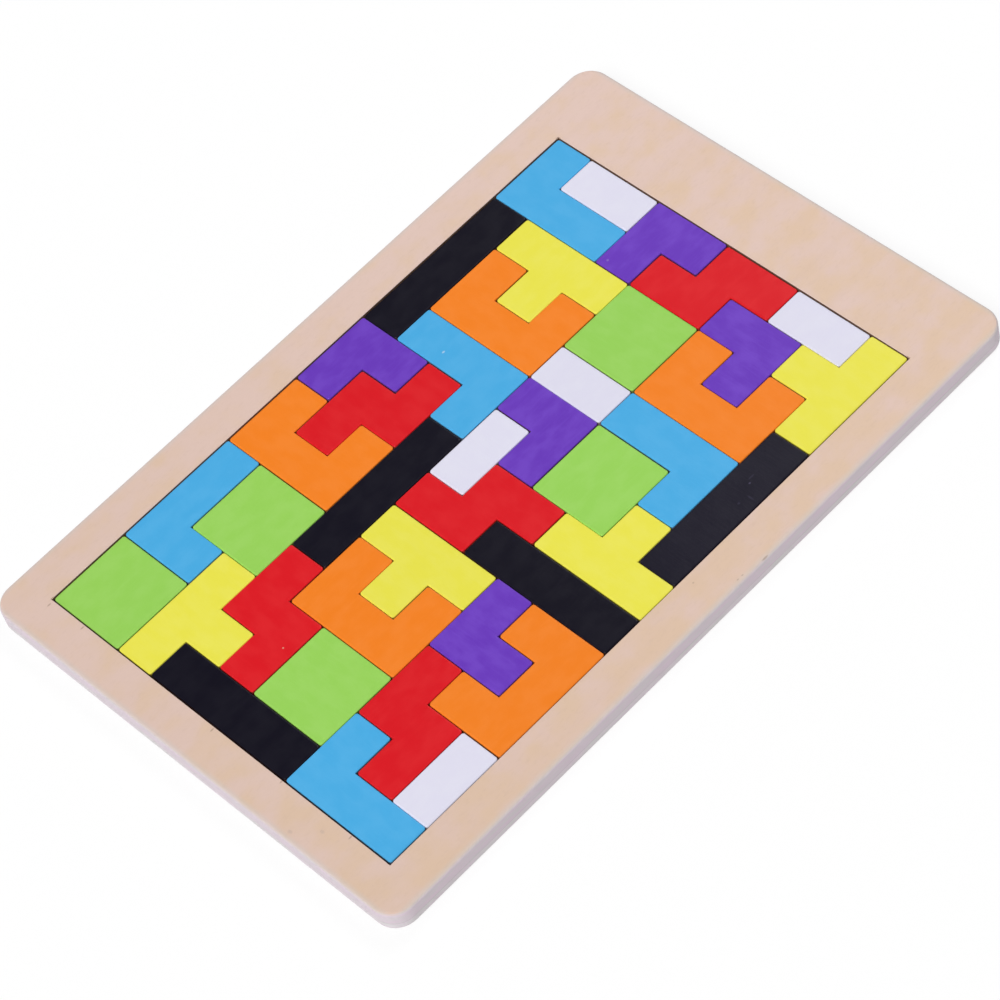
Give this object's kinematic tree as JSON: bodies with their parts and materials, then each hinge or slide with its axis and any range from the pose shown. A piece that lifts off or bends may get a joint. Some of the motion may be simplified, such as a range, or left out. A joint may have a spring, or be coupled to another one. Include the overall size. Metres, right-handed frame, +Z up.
{
  "type": "tetromino puzzle",
  "caption": "Shallow wooden tray with a wide header rim, its recess filled edge to edge with loose painted polyomino blocks that are lifted out and packed again.",
  "frame": {"origin": "centre of the tray's outline, on its flat underside", "axes": "+X across the tray to the right as seen from above with the header away from the viewer, +Y along its length towards the wide header rim, +Z up out of the recess"},
  "size_m": [0.18, 0.268, 0.008],
  "materials": {
    "tray_veneer": "pale fine-grained hardwood ply, sanded smooth and left bare",
    "tray_board": "thin pale plywood, sanded, bare",
    "blue_paint": "wood with a thin coat of satin sky-blue paint",
    "white_paint": "wood with a thin coat of satin cool white paint",
    "purple_paint": "wood with a thin mottled coat of satin violet paint",
    "red_paint": "wood with a thin coat of satin red paint",
    "yellow_paint": "wood with a thin coat of satin lemon-yellow paint",
    "black_paint": "wood with a thin coat of satin black paint, lightly scuffed",
    "green_paint": "wood with a thin mottled coat of satin apple-green paint",
    "orange_paint": "wood with a thin coat of satin orange paint"
  },
  "bodies": {
    "root": {"tray_frame": "tray_veneer", "tray_base": "tray_board", "blue_ell_1": "blue_paint", "blue_ell_2": "blue_paint", "blue_ell_3": "blue_paint", "blue_ell_4": "blue_paint", "blue_ell_5": "blue_paint", "white_domino_1": "white_paint", "white_domino_2": "white_paint", "white_domino_3": "white_paint", "white_domino_4": "white_paint", "white_domino_5": "white_paint", "purple_corner_1": "purple_paint", "purple_corner_2": "purple_paint", "purple_corner_3": "purple_paint", "purple_corner_4": "purple_paint", "purple_corner_5": "purple_paint", "red_step_1": "red_paint", "red_step_2": "red_paint", "red_step_3": "red_paint", "red_step_4": "red_paint", "red_step_5": "red_paint", "yellow_tee_1": "yellow_paint", "yellow_tee_2": "yellow_paint", "yellow_tee_3": "yellow_paint", "yellow_tee_4": "yellow_paint", "yellow_tee_5": "yellow_paint", "black_bar_1": "black_paint", "black_bar_2": "black_paint", "black_bar_3": "black_paint", "black_bar_4": "black_paint", "black_bar_5": "black_paint", "green_square_1": "green_paint", "green_square_2": "green_paint", "green_square_3": "green_paint", "green_square_4": "green_paint", "green_square_5": "green_paint", "orange_cup_1": "orange_paint", "orange_cup_2": "orange_paint", "orange_cup_3": "orange_paint", "orange_cup_4": "orange_paint", "orange_cup_5": "orange_paint"}
  },
  "joints": []
}
